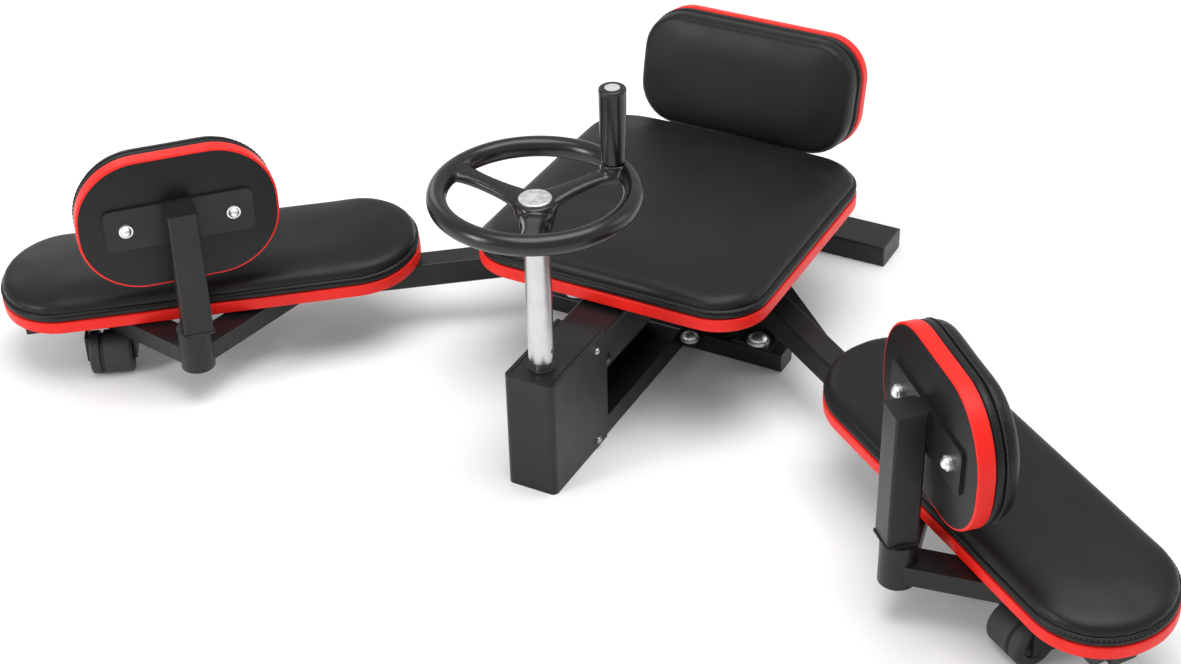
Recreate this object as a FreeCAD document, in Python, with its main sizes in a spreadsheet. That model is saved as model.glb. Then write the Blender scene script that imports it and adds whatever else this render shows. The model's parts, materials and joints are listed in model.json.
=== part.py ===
"""Hand-wheel leg stretcher: a seat on a low beam, with two padded legs that a hand wheel swings apart.

Frame: millimetres, +Z up, the floor at Z = 0, the legs open towards -Y, symmetric about X = 0.
A bevel pair turns a lead screw in the beam, and its crosshead swings both legs by slotted cranks.
"""
import FreeCAD, Part
import Sketcher
import math
import os
import re
from types import SimpleNamespace

Vector = FreeCAD.Vector
Rotation = FreeCAD.Rotation
Placement = FreeCAD.Placement
X_AXIS = Vector(1, 0, 0)
Y_AXIS = Vector(0, 1, 0)
Z_AXIS = Vector(0, 0, 1)
FLANGE_SHARE = 0.4    # of a dome nut's height
CAP_START = 0.3       # of a dome nut's height
CAP_SHARE = 0.82      # of a dome nut's radius
LONG_EDGE = 100       # a tube's edges are longer than this, those of its ends shorter

# ---------------------------------------------------------------- driving dimensions
DIMENSIONS = [
    # main beam and its side windows
    ("column_y", -221.8), ("beam_width", 50.0), ("beam_height", 125.0), ("beam_wall", 2.5),
    ("beam_start", 50.0), ("beam_end", 436.0), ("beam_edge_radius", 5.0),
    ("window_start", 86.0), ("window_end", 356.0), ("window_low", 21.5), ("window_high", 89.0),
    ("lip_height", 11.0), ("lip_thickness", 1.8), ("lip_lean", 22.0), ("lip_offset", 3.2),
    ("lip_margin", 3.0), ("lip_overlap", 0.5),
    ("lug_radius", 10.0), ("lug_offset", 39.0), ("lug_distance", 248.0), ("lug_height", 21.0),
    ("lug_thickness", 4.0),
    ("beam_nut_y", 180.0), ("beam_nut_level", 107.0),
    # gear housing
    ("housing_width", 53.6), ("housing_front", -28.7), ("housing_rear", 80.0),
    ("housing_height", 127.7), ("housing_wall", 1.8), ("housing_corner", 6.0),
    ("housing_screw_y", 60.0), ("housing_screw_radius", 4.0), ("housing_screw_high", 117.0),
    ("housing_screw_low", 9.5), ("housing_seam_inset", 4.5), ("housing_seam_width", 1.0),
    ("housing_seam_depth", 0.8), ("bush_radius_top", 12.0), ("bush_bottom", 118.7),
    ("bush_flange_radius", 13.4), ("bush_flange_height", 1.4),
    # cross bar and leg hinges
    ("bar_length", 279.0), ("bar_depth", 28.0), ("bar_height", 21.5), ("bar_distance", 274.0),
    ("tube_wall", 2.0), ("tube_edge_radius", 2.5), ("cap_thickness", 2.5),
    ("hinge_offset", 104.0), ("hinge_distance", 301.0), ("hinge_block", 36.0),
    ("hinge_block_top", 52.0),
    ("hinge_plate_width", 44.0), ("hinge_plate_thickness", 4.0), ("hinge_plate_start", 261.5),
    ("hinge_pin_radius", 8.0), ("hinge_head_radius", 15.0), ("hinge_head_height", 4.0),
    ("hinge_bolt_x", 108.5), ("hinge_bolt_y", 269.5), ("hinge_bolt_radius", 12.0),
    ("hinge_bolt_height", 9.0), ("hinge_head_gap", 0.4),
    # rear tail and foot
    ("tail_height", 25.0), ("foot_length", 320.0), ("foot_depth", 49.4), ("foot_start", 501.6),
    # seat
    ("seat_width", 320.0), ("seat_start", 118.2), ("seat_length", 328.6), ("seat_corner", 54.0),
    ("seat_bottom", 130.0), ("board_thickness", 13.5), ("seat_pad_thickness", 24.0), ("pad_edge", 9.0),
    ("seat_plate_length", 200.0), ("seat_plate_depth", 40.0),
    ("seat_plate_front", 180.0), ("seat_plate_rear", 385.0), ("seat_bolt_x", 80.0),
    # backrest
    ("back_width", 252.0), ("back_height", 127.0), ("back_corner", 46.0), ("back_tilt", 13.0),
    ("back_distance", 505.0), ("back_level", 206.0), ("back_pad_thickness", 32.0),
    ("back_plate_width", 150.0), ("back_plate_height", 50.0), ("plate_thickness", 4.0),
    ("back_post_width", 40.0), ("back_post_depth", 20.0), ("back_post_length", 236.0),
    ("back_post_rise", 25.0), ("back_bolt_x", 55.0),
    # hand wheel, column and grip
    ("wheel_level", 318.8), ("wheel_radius", 89.1), ("wheel_tube", 10.1), ("spoke_width", 16.0),
    ("spoke_height", 10.0), ("hub_radius", 20.5), ("hub_top", 313.0), ("hub_height", 17.0),
    ("hub_sleeve_radius", 16.0), ("hub_sleeve_bottom", 281.0), ("cap_radius", 15.5), ("cap_height", 2.5),
    ("column_radius", 12.5), ("column_bottom", 138.0), ("column_top", 312.0),
    ("shaft_radius", 8.0), ("shaft_top", 170.0),
    ("cross_pin_radius", 2.8), ("cross_pin_level", 150.0), ("first_spoke_angle", 56.0),
    ("grip_offset", 81.5), ("grip_bottom", 329.5), ("grip_top", 405.5), ("grip_low_radius", 11.4),
    ("grip_high_radius", 12.9), ("grip_boss_radius", 12.0), ("grip_boss_gap", 0.4),
    ("spindle_radius", 4.0), ("spindle_start", 308.8), ("spindle_head_radius", 7.2),
    ("spindle_head_height", 2.0), ("spindle_slot_length", 10.0), ("spindle_slot_width", 1.8),
    ("spindle_slot_depth", 1.0), ("grip_recess_depth", 2.4), ("grip_recess_gap", 0.4),
    # bevel gears, lead screw and crosshead
    ("screw_level", 57.0), ("screw_radius", 8.0), ("screw_start", 12.0), ("screw_end", 386.0),
    ("gear_radius", 20.0), ("gear_teeth", 16), ("gear_hub_radius", 14.0), ("gear_hub_length", 8.0),
    ("gear_inner_share", 0.68), ("gear_root_depth", 2.5), ("gear_tip_height", 1.5),
    ("gear_root_width", 4.2), ("gear_tip_width", 1.9), ("gear_root_overlap", 0.4),
    ("bearing_front", 54.0), ("bearing_rear", 370.0), ("bearing_thickness", 9.0), ("bearing_height", 60.0),
    ("crosshead_offset", -2.84), ("crosshead_pin_x", 64.0), ("crosshead_pin_radius", 5.0),
    ("crosshead_bar_length", 142.0), ("crosshead_bar_depth", 16.0), ("crosshead_bar_height", 9.0),
    ("crosshead_bar_bottom", 37.0), ("nut_width", 32.0), ("nut_length", 36.0), ("nut_bottom", 46.0),
    ("nut_height", 24.0), ("running_gap", 0.05), ("crosshead_pin_length", 30.0),
    ("crosshead_head_radius", 9.0),
    ("crosshead_head_level", 65.0), ("crosshead_head_height", 2.5),
    # legs, in each leg's own frame: U outwards from the hinge, W square to it, Z up
    ("leg_angle", 55.4), ("arm_size", 28.0), ("arm_length", 606.0), ("arm_side", -14.5),
    ("arm_level", 72.5), ("arm_slope", 2.2), ("hub_size", 36.0), ("hub_bottom", 52.6),
    ("hub_height_leg", 38.0), ("hub_corner", 6.0), ("gusset_start", 10.0), ("gusset_flat", 20.0),
    ("gusset_end", 116.0), ("gusset_side", 14.0), ("gusset_height", 24.0),
    ("bush_radius", 11.0), ("crank_angle", 218.1), ("crank_bottom", 54.0), ("crank_thickness", 8.0),
    ("crank_width", 30.0), ("crank_length", 54.0), ("slot_start", 39.5), ("slot_end", 53.5),
    ("slot_radius", 7.0),
    ("pad_centre", 408.2), ("pad_side", -12.9), ("pad_level", 79.1), ("pad_length", 444.0),
    ("pad_width", 141.0), ("pad_corner", 69.5), ("pad_slope", 3.0), ("pad_roll", 5.0),
    ("leg_pad_thickness", 23.0),
    ("saddle_width", 80.0), ("saddle_length", 50.0), ("saddle_depth", 18.0), ("saddle_near", -140.0),
    ("saddle_far", 175.0),
    ("socket_centre", 426.0), ("socket_side", -126.0), ("socket_radius", 17.5), ("socket_bottom", 42.0),
    ("socket_height", 46.0), ("post_size", 30.0), ("post_top", 228.0), ("brace_height", 20.0),
    ("brace_width", 30.0), ("brace_bottom", 49.0), ("brace_length", 160.0), ("brace_slope", 1.5),
    ("oval_length", 203.0), ("oval_height", 144.0), ("oval_corner", 66.0), ("oval_level", 204.5),
    ("oval_toe", -12.0), ("oval_plate_side", -109.0), ("oval_plate_length", 150.0),
    ("oval_plate_height", 46.0),
    ("oval_board_thickness", 16.0), ("oval_pad_thickness", 28.0), ("oval_bolt_spread", 108.0),
    ("stub_width", 24.0), ("stub_length", 3.0), ("stub_height", 36.0),
    ("nut_radius", 7.0), ("nut_dome", 8.0),
    ("caster_centre", 521.0), ("caster_side", -58.0), ("caster_radius", 23.0), ("caster_width", 44.0),
    ("axle_radius", 4.0), ("ear_thickness", 3.0), ("ear_reach", 6.5), ("ear_bottom", 16.0),
    ("ear_top", 45.0), ("caster_gap", 1.0),
    # cutting tools: how far they pass a face, and lengths that clear any piece they cut
    ("overshoot", 1.0), ("bore_length", 200.0), ("trim_length", 600.0), ("trim_width", 200.0),
]
D = SimpleNamespace(**dict(DIMENSIONS))

doc = FreeCAD.newDocument("leg_stretcher")
sheet = doc.addObject("Spreadsheet::Sheet", "Dims")
for row, (alias, value) in enumerate(DIMENSIONS, 1):
    sheet.set(f"A{row}", alias)
    sheet.set(f"B{row}", str(value))
    sheet.setAlias(f"B{row}", alias)
doc.recompute()

NODES = []


# ---------------------------------------------------------------- building blocks
def bind(feature, **sizes):
    """Bind sizes to formulas whose words are names in the sheet."""
    for prop, formula in sizes.items():
        feature.setExpression(prop, re.sub(r"\b([a-z]\w*)", r"Dims.\1", formula))
    return feature


def block(name, length, width, height, centre, turn=None):
    """Box centred on X and Y of `centre` and standing on its Z; `turn` is about that point."""
    box = doc.addObject("Part::Box", name)
    bind(box, Length=length, Width=width, Height=height)
    doc.recompute([box])
    corner = Vector(-box.Length.Value / 2, -box.Width.Value / 2, 0)
    box.Placement = Placement(Vector(*centre), turn or Rotation()) * Placement(corner, Rotation())
    return box


def rod(name, radius, height, base, axis=Z_AXIS):
    """Cylinder that starts at `base` and runs along `axis`."""
    cylinder = doc.addObject("Part::Cylinder", name)
    bind(cylinder, Radius=radius, Height=height)
    cylinder.Placement = Placement(Vector(*base), Rotation(Z_AXIS, axis))
    return cylinder


def bore(name, radius, base, axis=Z_AXIS):
    """Cutting rod that runs from `base` right through whatever it meets."""
    return rod(name, radius, "bore_length", base, axis)


def dome(name, radius, height, base, axis=Z_AXIS):
    """Dome nut: a short flange under a rounded cap."""
    rise = getattr(D, height)
    flange = rod(name + "_flange", radius, f"{height} * {FLANGE_SHARE}", base, axis)
    cap = doc.addObject("Part::Ellipsoid", name + "_cap")
    width = f"{radius} * {CAP_SHARE}"
    bind(cap, Radius1=f"{height} * (1 - {CAP_START})", Radius2=width, Radius3=width)
    cap.Angle1 = 0
    cap.Placement = Placement(Vector(*base) + axis * (rise * CAP_START), Rotation(Z_AXIS, axis))
    return fuse(name, flange, cap)


def fuse(name, *pieces):
    union = doc.addObject("Part::MultiFuse", name)
    union.Shapes = list(pieces)
    return union


def cut(name, base, *tools):
    result = doc.addObject("Part::Cut", name)
    result.Base = base
    result.Tool = tools[0] if len(tools) == 1 else fuse(name + "_tools", *tools)
    return result


def group(name, *pieces):
    """Separate solids that share one node."""
    compound = doc.addObject("Part::Compound", name)
    compound.Links = list(pieces)
    return compound


def round_edges(name, base, radius, wanted):
    """Fillet the edges for which wanted(first point, last point) is true."""
    doc.recompute()
    edges = [(number, radius, radius) for number, edge in enumerate(base.Shape.Edges, 1)
             if len(edge.Vertexes) == 2 and wanted(edge.Vertexes[0].Point, edge.Vertexes[1].Point)]
    fillet = doc.addObject("Part::Fillet", name)
    fillet.Base = base
    fillet.Edges = edges
    return fillet


def round_long_edges(name, base):
    """Fillet the edges that run the length of a tube."""
    return round_edges(name, base, D.tube_edge_radius, lambda a, b: a.distanceToPoint(b) > LONG_EDGE)


def node(feature, label, placement=None):
    """Name a finished sub-part and put it in its place."""
    if placement is not None:
        feature.Placement = placement * feature.Placement
    feature.Label = label
    NODES.append(feature)
    return feature


def mirrored(feature, label):
    """The same sub-part on the left side."""
    mirror = doc.addObject("Part::Mirroring", label + "_mirror")
    mirror.Source = feature
    mirror.Normal = X_AXIS
    return node(mirror, label)


def rounded_plate(name, length, width, corner, thickness, edge=None):
    """Body padded up from a rounded rectangle centred on the origin; `edge` rounds its top rim."""
    body = doc.addObject("PartDesign::Body", name)
    plane = next(item for item in body.Origin.OriginFeatures if item.Role == "XY_Plane")
    sketch = body.newObject("Sketcher::SketchObject", name + "_outline")
    sketch.AttachmentSupport = [(plane, "")]
    sketch.MapMode = "FlatFace"
    half_x, half_y, r = getattr(D, length) / 2, getattr(D, width) / 2, getattr(D, corner)
    in_x, in_y = half_x - r, half_y - r
    corners = [(in_x, in_y), (-in_x, in_y), (-in_x, -in_y), (in_x, -in_y)]
    for index, (x, y) in enumerate(corners):
        circle = Part.Circle(Vector(x, y, 0), Z_AXIS, r)
        start = index * math.pi / 2
        sketch.addGeometry(Part.ArcOfCircle(circle, start, start + math.pi / 2), False)
    ends = [((in_x, half_y), (-in_x, half_y)), ((-half_x, in_y), (-half_x, -in_y)),
            ((-in_x, -half_y), (in_x, -half_y)), ((half_x, -in_y), (half_x, in_y))]
    for start, end in ends:
        sketch.addGeometry(Part.LineSegment(Vector(*start, 0), Vector(*end, 0)), False)
    for index in range(4):
        side = 4 + index
        sketch.addConstraint(Sketcher.Constraint("Tangent", index, 2, side, 1))
        sketch.addConstraint(Sketcher.Constraint("Tangent", side, 2, (index + 1) % 4, 1))
    for index in (1, 2, 3):
        sketch.addConstraint(Sketcher.Constraint("Equal", 0, index))
    sketch.addConstraint(Sketcher.Constraint("Horizontal", 4))
    sketch.addConstraint(Sketcher.Constraint("Vertical", 5))
    sketch.addConstraint(Sketcher.Constraint("Symmetric", 0, 3, 2, 3, -1, 1))
    sizes = [("Radius", (0, r), corner),
             ("DistanceX", (2, 3, 0, 3, 2 * in_x), f"{length} - 2 * {corner}"),
             ("DistanceY", (2, 3, 0, 3, 2 * in_y), f"{width} - 2 * {corner}")]
    for kind, arguments, formula in sizes:
        number = sketch.addConstraint(Sketcher.Constraint(kind, *arguments))
        bind(sketch, **{f"Constraints[{number}]": formula})
    pad = body.newObject("PartDesign::Pad", name + "_pad")
    pad.Profile = sketch
    bind(pad, Length=thickness)
    doc.recompute()
    if edge:
        top = max(range(len(pad.Shape.Faces)), key=lambda i: pad.Shape.Faces[i].CenterOfMass.z)
        fillet = body.newObject("PartDesign::Fillet", name + "_edge")
        fillet.Base = (pad, [f"Face{top + 1}"])
        bind(fillet, Radius=edge)
        doc.recompute()
    return body


def along(distance):
    """Y of a point at a distance behind the hand-wheel column."""
    return D.column_y + distance


# ---------------------------------------------------------------- frame
def tube(name, length, width, height, centre):
    """Square tube with rounded edges that runs along X, open at both ends."""
    outer = round_long_edges(name + "_round", block(name + "_outer", length, width, height, centre))
    inner = block(name + "_inner", f"{length} + 2 * overshoot", f"{width} - 2 * tube_wall",
                  f"{height} - 2 * tube_wall", (centre[0], centre[1], centre[2] + D.tube_wall))
    return cut(name, outer, inner)


def main_beam():
    middle = along((D.beam_start + D.beam_end) / 2)
    outer = block("beam_outer", "beam_width", "beam_end - beam_start", "beam_height", (0, middle, 0))
    rounded = round_edges("beam_rounded", outer, D.beam_edge_radius,
                          lambda a, b: min(a.z, b.z) > D.beam_height / 2 and abs(a.x - b.x) < 1)
    inner = block("beam_inner", "beam_width - 2 * beam_wall", "beam_end - beam_start + 2 * overshoot",
                  "beam_height - 2 * beam_wall", (0, middle, D.beam_wall))
    window_middle = along((D.window_start + D.window_end) / 2)
    through = "beam_width + 2 * overshoot"
    window = block("beam_window", through, "window_end - window_start", "window_high - window_low",
                   (0, window_middle, D.window_low))
    notch = block("beam_notch", through, "bar_depth", "bar_height + overshoot",
                  (0, along(D.bar_distance), -D.overshoot))
    shell = cut("beam_shell", rounded, inner, window, notch)
    pieces = [shell]
    for side in (-1, 1):
        lean = Rotation(Y_AXIS, -side * D.lip_lean)
        foot = (side * (D.beam_width / 2 + D.lip_offset), window_middle, D.window_high - D.lip_overlap)
        pieces.append(block(f"lip_{side + 1}", "lip_thickness", "window_end - window_start - 2 * lip_margin",
                            "lip_height", foot, lean))
        x = side * D.lug_offset
        y = along(D.lug_distance)
        tab_level = D.lug_height - D.lug_thickness
        tab_end = D.bar_distance - D.bar_depth / 2
        pieces.append(rod(f"lug_{side + 1}", "lug_radius", "lug_thickness", (x, y, tab_level)))
        pieces.append(block(f"lug_web_{side + 1}", "lug_offset + lug_radius - beam_width / 2",
                            "bar_distance - bar_depth / 2 - lug_distance", "lug_thickness",
                            (side * (D.lug_offset + D.lug_radius + D.beam_width / 2) / 2,
                             along((tab_end + D.lug_distance) / 2), tab_level)))
    node(fuse("main_beam_weld", *pieces), "main_beam")
    y = along(D.bar_distance)
    node(tube("cross_bar_tube", "bar_length - 2 * cap_thickness", "bar_depth", "bar_height", (0, y, 0)),
         "cross_bar")
    tail_middle = along((D.beam_end + D.foot_start) / 2)
    outer = block("tail_outer", "beam_width", "foot_start - beam_end", "tail_height", (0, tail_middle, 0))
    inner = block("tail_inner", "beam_width - 2 * tube_wall", "foot_start - beam_end + 2 * overshoot",
                  "tail_height - 2 * tube_wall", (0, tail_middle, D.tube_wall))
    node(cut("tail_cut", outer, inner), "tail_tube")
    foot_y = along(D.foot_start + D.foot_depth / 2)
    node(tube("foot_tube", "foot_length - 2 * cap_thickness", "foot_depth", "tail_height", (0, foot_y, 0)),
         "rear_foot_bar")
    caps = []
    for side in (-1, 1):
        bar_x = side * (D.bar_length - D.cap_thickness) / 2
        foot_x = side * (D.foot_length - D.cap_thickness) / 2
        bar_cap = block(f"bar_cap_{side + 1}", "cap_thickness", "bar_depth", "bar_height", (bar_x, y, 0))
        foot_cap = block(f"foot_cap_{side + 1}", "cap_thickness", "foot_depth", "tail_height",
                         (foot_x, foot_y, 0))
        for cap in (bar_cap, foot_cap):
            caps.append(round_edges(cap.Name + "_round", cap, D.tube_edge_radius,
                                    lambda a, b: abs(a.x - b.x) > D.cap_thickness / 2))
    node(group("caps", *caps), "tube_end_caps")


def gear_housing():
    middle = along((D.housing_front + D.housing_rear) / 2)
    outer = block("housing_outer", "housing_width", "housing_rear - housing_front", "housing_height",
                  (0, middle, 0))
    rounded = round_edges("housing_rounded", outer, D.housing_corner,
                          lambda a, b: abs(a.z - b.z) > LONG_EDGE and a.y < along(0))
    length = "housing_rear - housing_front + 2 * overshoot"
    inner = block("housing_inner", "housing_width - 2 * housing_wall", length,
                  "housing_height - housing_wall + overshoot",
                  (0, middle + D.housing_wall + D.overshoot, -D.overshoot))
    hole = bore("housing_hole", "bush_radius_top", (0, along(0), D.housing_height / 2))
    top = D.housing_height - D.housing_seam_depth
    seams = [block(f"housing_seam_{side + 1}", "housing_seam_width", length,
                   "housing_seam_depth + overshoot",
                   (side * (D.housing_width / 2 - D.housing_seam_inset), middle + D.housing_corner, top))
             for side in (-1, 1)]
    node(cut("housing_cut", rounded, inner, hole, *seams), "gear_housing")
    screws = []
    for side in (-1, 1):
        for level in (D.housing_screw_high, D.housing_screw_low):
            start = (side * D.housing_width / 2, along(D.housing_screw_y), level)
            screws.append(dome(f"screw_{side + 1}_{int(level)}", "housing_screw_radius",
                               "housing_screw_radius", start, X_AXIS * side))
    node(group("screws", *screws), "housing_screws")
    sleeve = rod("bush_sleeve", "bush_radius_top", "housing_height + bush_flange_height - bush_bottom",
                 (0, along(0), D.bush_bottom))
    flange = rod("bush_flange", "bush_flange_radius", "bush_flange_height", (0, along(0), D.housing_height))
    drill = bore("bush_bore", "shaft_radius + running_gap", (0, along(0), D.bush_bottom - D.overshoot))
    node(cut("bush_cut", fuse("bush_blank", sleeve, flange), drill), "column_bush")


def hinges():
    """Fixed half of both leg hinges, with their pins and bolts."""
    brackets, pins, bolts = [], [], []
    y = along(D.hinge_distance)
    plate_top = D.bar_height + D.hinge_plate_thickness
    plate_end = D.hinge_distance + D.hinge_block / 2
    for side in (-1, 1):
        x = side * D.hinge_offset
        plate = block(f"hinge_plate_{side + 1}", "hinge_plate_width",
                      "hinge_distance + hinge_block / 2 - hinge_plate_start", "hinge_plate_thickness",
                      (x, along((D.hinge_plate_start + plate_end) / 2), D.bar_height))
        stand = block(f"hinge_stand_{side + 1}", "hinge_block", "hinge_block",
                      "hinge_block_top - bar_height - hinge_plate_thickness", (x, y, plate_top))
        drill = bore(f"hinge_stand_bore_{side + 1}", "hinge_pin_radius", (x, y, 0))
        bolt_spot = (side * D.hinge_bolt_x, along(D.hinge_bolt_y), plate_top)
        weld = fuse(f"hinge_weld_{side + 1}", plate, stand)
        brackets.append(cut(f"hinge_bracket_{side + 1}", weld, drill))
        pin = rod(f"hinge_pin_{side + 1}", "hinge_pin_radius",
                  "hub_bottom + hub_height_leg + hinge_head_gap - bar_height", (x, y, D.bar_height))
        head = rod(f"hinge_head_{side + 1}", "hinge_head_radius", "hinge_head_height",
                   (x, y, D.hub_bottom + D.hub_height_leg + D.hinge_head_gap))
        pins.append(fuse(f"hinge_pin_weld_{side + 1}", pin, head))
        bolts.append(dome(f"hinge_bolt_{side + 1}", "hinge_bolt_radius", "hinge_bolt_height", bolt_spot))
    node(group("brackets", *brackets), "hinge_brackets")
    node(group("pins", *pins), "hinge_pins")
    node(group("bolts", *bolts), "hinge_bolts")
    nuts = []
    for side in (-1, 1):
        nuts.append(dome(f"lug_nut_{side + 1}", "lug_radius", "nut_dome",
                         (side * D.lug_offset, along(D.lug_distance), D.lug_height)))
        nuts.append(dome(f"beam_nut_{side + 1}", "nut_radius", "nut_dome",
                         (side * D.beam_width / 2, along(D.beam_nut_y), D.beam_nut_level), X_AXIS * side))
    node(group("nuts", *nuts), "beam_nuts")


def seat():
    middle = along(D.seat_start + D.seat_length / 2)
    board = rounded_plate("seat_board_body", "seat_width", "seat_length", "seat_corner", "board_thickness")
    node(board, "seat_board", Placement(Vector(0, middle, D.seat_bottom), Rotation()))
    cushion = rounded_plate("seat_cushion_body", "seat_width", "seat_length", "seat_corner",
                            "seat_pad_thickness", "pad_edge")
    top = D.seat_bottom + D.board_thickness
    node(cushion, "seat_cushion", Placement(Vector(0, middle, top), Rotation()))
    plates = [block(f"seat_plate_{int(spot)}", "seat_plate_length", "seat_plate_depth",
                    "seat_bottom - beam_height", (0, along(spot), D.beam_height))
              for spot in (D.seat_plate_front, D.seat_plate_rear)]
    node(group("plates", *plates), "seat_plates")


def back_frame():
    """Frame of the backrest: origin on the board's rear face, Z out of it to the front."""
    tilt = Rotation(X_AXIS, 90 - D.back_tilt)
    return Placement(Vector(0, along(D.back_distance), D.back_level), tilt)


def backrest():
    board = rounded_plate("back_board_body", "back_width", "back_height", "back_corner", "board_thickness")
    node(board, "backrest_board", back_frame())
    cushion = rounded_plate("back_cushion_body", "back_width", "back_height", "back_corner",
                            "back_pad_thickness", "pad_edge")
    node(cushion, "backrest_cushion", back_frame() * Placement(Vector(0, 0, D.board_thickness), Rotation()))
    plate = block("back_plate", "back_plate_width", "back_plate_height", "plate_thickness",
                  (0, 0, -D.plate_thickness))
    post = block("back_post", "back_post_width", "back_post_length", "back_post_depth",
                 (0, D.back_post_rise - D.back_post_length / 2, -D.plate_thickness - D.back_post_depth))
    weld = fuse("back_weld", plate, post)
    weld.Placement = back_frame()
    below = block("back_post_trim", "trim_width", "trim_length", "trim_width",
                  (0, along(D.foot_start), D.tail_height - D.trim_width))
    node(cut("back_post_cut", weld, below), "backrest_post")


def cushion_bolts():
    """Bolts that hold the seat and the backrest to their plates."""
    bolts = []
    for spot in (D.seat_plate_front, D.seat_plate_rear):
        for side in (-1, 1):
            bolts.append(dome(f"seat_bolt_{side + 1}_{int(spot)}", "nut_radius", "nut_dome",
                              (side * D.seat_bolt_x, along(spot), D.beam_height), -Z_AXIS))
    rear = back_frame()
    for side in (-1, 1):
        start = rear.multVec(Vector(side * D.back_bolt_x, 0, -D.plate_thickness))
        away = rear.Rotation.multVec(-Z_AXIS)
        bolts.append(dome(f"back_bolt_{side + 1}", "nut_radius", "nut_dome", tuple(start), away))
    node(group("pad_bolts", *bolts), "cushion_bolts")


# ---------------------------------------------------------------- hand wheel and drive
def hand_wheel():
    centre = Vector(0, along(0), 0)
    rim = doc.addObject("Part::Torus", "rim")
    bind(rim, Radius1="wheel_radius", Radius2="wheel_tube")
    rim.Placement.Base = Vector(0, 0, D.wheel_level)
    hub = rod("wheel_hub", "hub_radius", "hub_height", (0, 0, D.hub_top - D.hub_height))
    sleeve = rod("wheel_sleeve", "hub_sleeve_radius", "hub_top - hub_sleeve_bottom",
                 (0, 0, D.hub_sleeve_bottom))
    pieces = [rim, hub, sleeve]
    rise = D.wheel_level - (D.hub_top - D.hub_height / 2)
    dish = math.degrees(math.atan2(rise, D.wheel_radius))
    for index in range(3):
        angle = D.first_spoke_angle + 120 * index
        turn = Rotation(Z_AXIS, angle) * Rotation(Y_AXIS, -dish)
        spoke = block(f"spoke_{index}", "wheel_radius", "spoke_width", "spoke_height", (0, 0, 0))
        lift = Vector(0, 0, D.hub_top - D.hub_height / 2)
        spoke.Placement = Placement(lift, turn) * Placement(
            Vector(0, -D.spoke_width / 2, -D.spoke_height / 2), Rotation())
        pieces.append(spoke)
    grip_at = Rotation(Z_AXIS, D.first_spoke_angle).multVec(Vector(D.grip_offset, 0, 0))
    pieces.append(rod("grip_boss", "grip_boss_radius", "grip_bottom - grip_boss_gap - spindle_start",
                      (grip_at.x, grip_at.y, D.spindle_start)))
    column_hole = rod("wheel_bore", "column_radius", "column_top - hub_sleeve_bottom + overshoot",
                      (0, 0, D.hub_sleeve_bottom - D.overshoot))
    spindle_hole = bore("spindle_hole", "spindle_radius", (grip_at.x, grip_at.y, D.hub_sleeve_bottom))
    wheel = cut("wheel_cut", fuse("wheel_weld", *pieces), column_hole, spindle_hole)
    node(wheel, "hand_wheel", Placement(centre, Rotation()))
    cap = rod("cap", "cap_radius", "cap_height", (0, along(0), D.hub_top))
    node(cap, "hub_cap")

    column = rod("column", "column_radius", "column_top - column_bottom", (0, along(0), D.column_bottom))
    core = bore("column_core", "shaft_radius", (0, along(0), D.column_bottom - D.overshoot))
    shaft = rod("shaft", "shaft_radius", "shaft_top - screw_level - screw_start",
                (0, along(0), D.screw_level + D.screw_start))
    pin_start = (-D.column_radius, along(0), D.cross_pin_level)
    for name, base, tools in (("column_tube", column, [core]), ("column_shaft", shaft, [])):
        drill = rod(name + "_drill", "cross_pin_radius", "2 * column_radius", pin_start, X_AXIS)
        node(cut(name + "_cut", base, *tools, drill), name)
    node(rod("cross_pin_rod", "cross_pin_radius", "2 * column_radius", pin_start, X_AXIS), "cross_pin")

    spot = grip_at + centre
    stem = rod("spindle_stem", "spindle_radius", "grip_top - spindle_head_height - spindle_start",
               (spot.x, spot.y, D.spindle_start))
    head = rod("spindle_head", "spindle_head_radius", "spindle_head_height",
               (spot.x, spot.y, D.grip_top - D.spindle_head_height))
    slot = block("spindle_slot", "spindle_slot_length", "spindle_slot_width",
                 "spindle_slot_depth + overshoot",
                 (spot.x, spot.y, D.grip_top - D.spindle_slot_depth))
    node(cut("spindle_cut", fuse("spindle_weld", stem, head), slot), "grip_spindle")
    sleeve = doc.addObject("Part::Cone", "grip_sleeve")
    bind(sleeve, Radius1="grip_low_radius", Radius2="grip_high_radius", Height="grip_top - grip_bottom")
    sleeve.Placement.Base = Vector(spot.x, spot.y, D.grip_bottom)
    drill = bore("grip_bore", "spindle_radius + 2 * running_gap",
                 (spot.x, spot.y, D.grip_bottom - D.overshoot))
    recess = rod("grip_recess", "spindle_head_radius + grip_recess_gap", "grip_recess_depth + overshoot",
                 (spot.x, spot.y, D.grip_top - D.grip_recess_depth))
    node(cut("grip_cut", sleeve, drill, recess), "grip")


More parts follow.
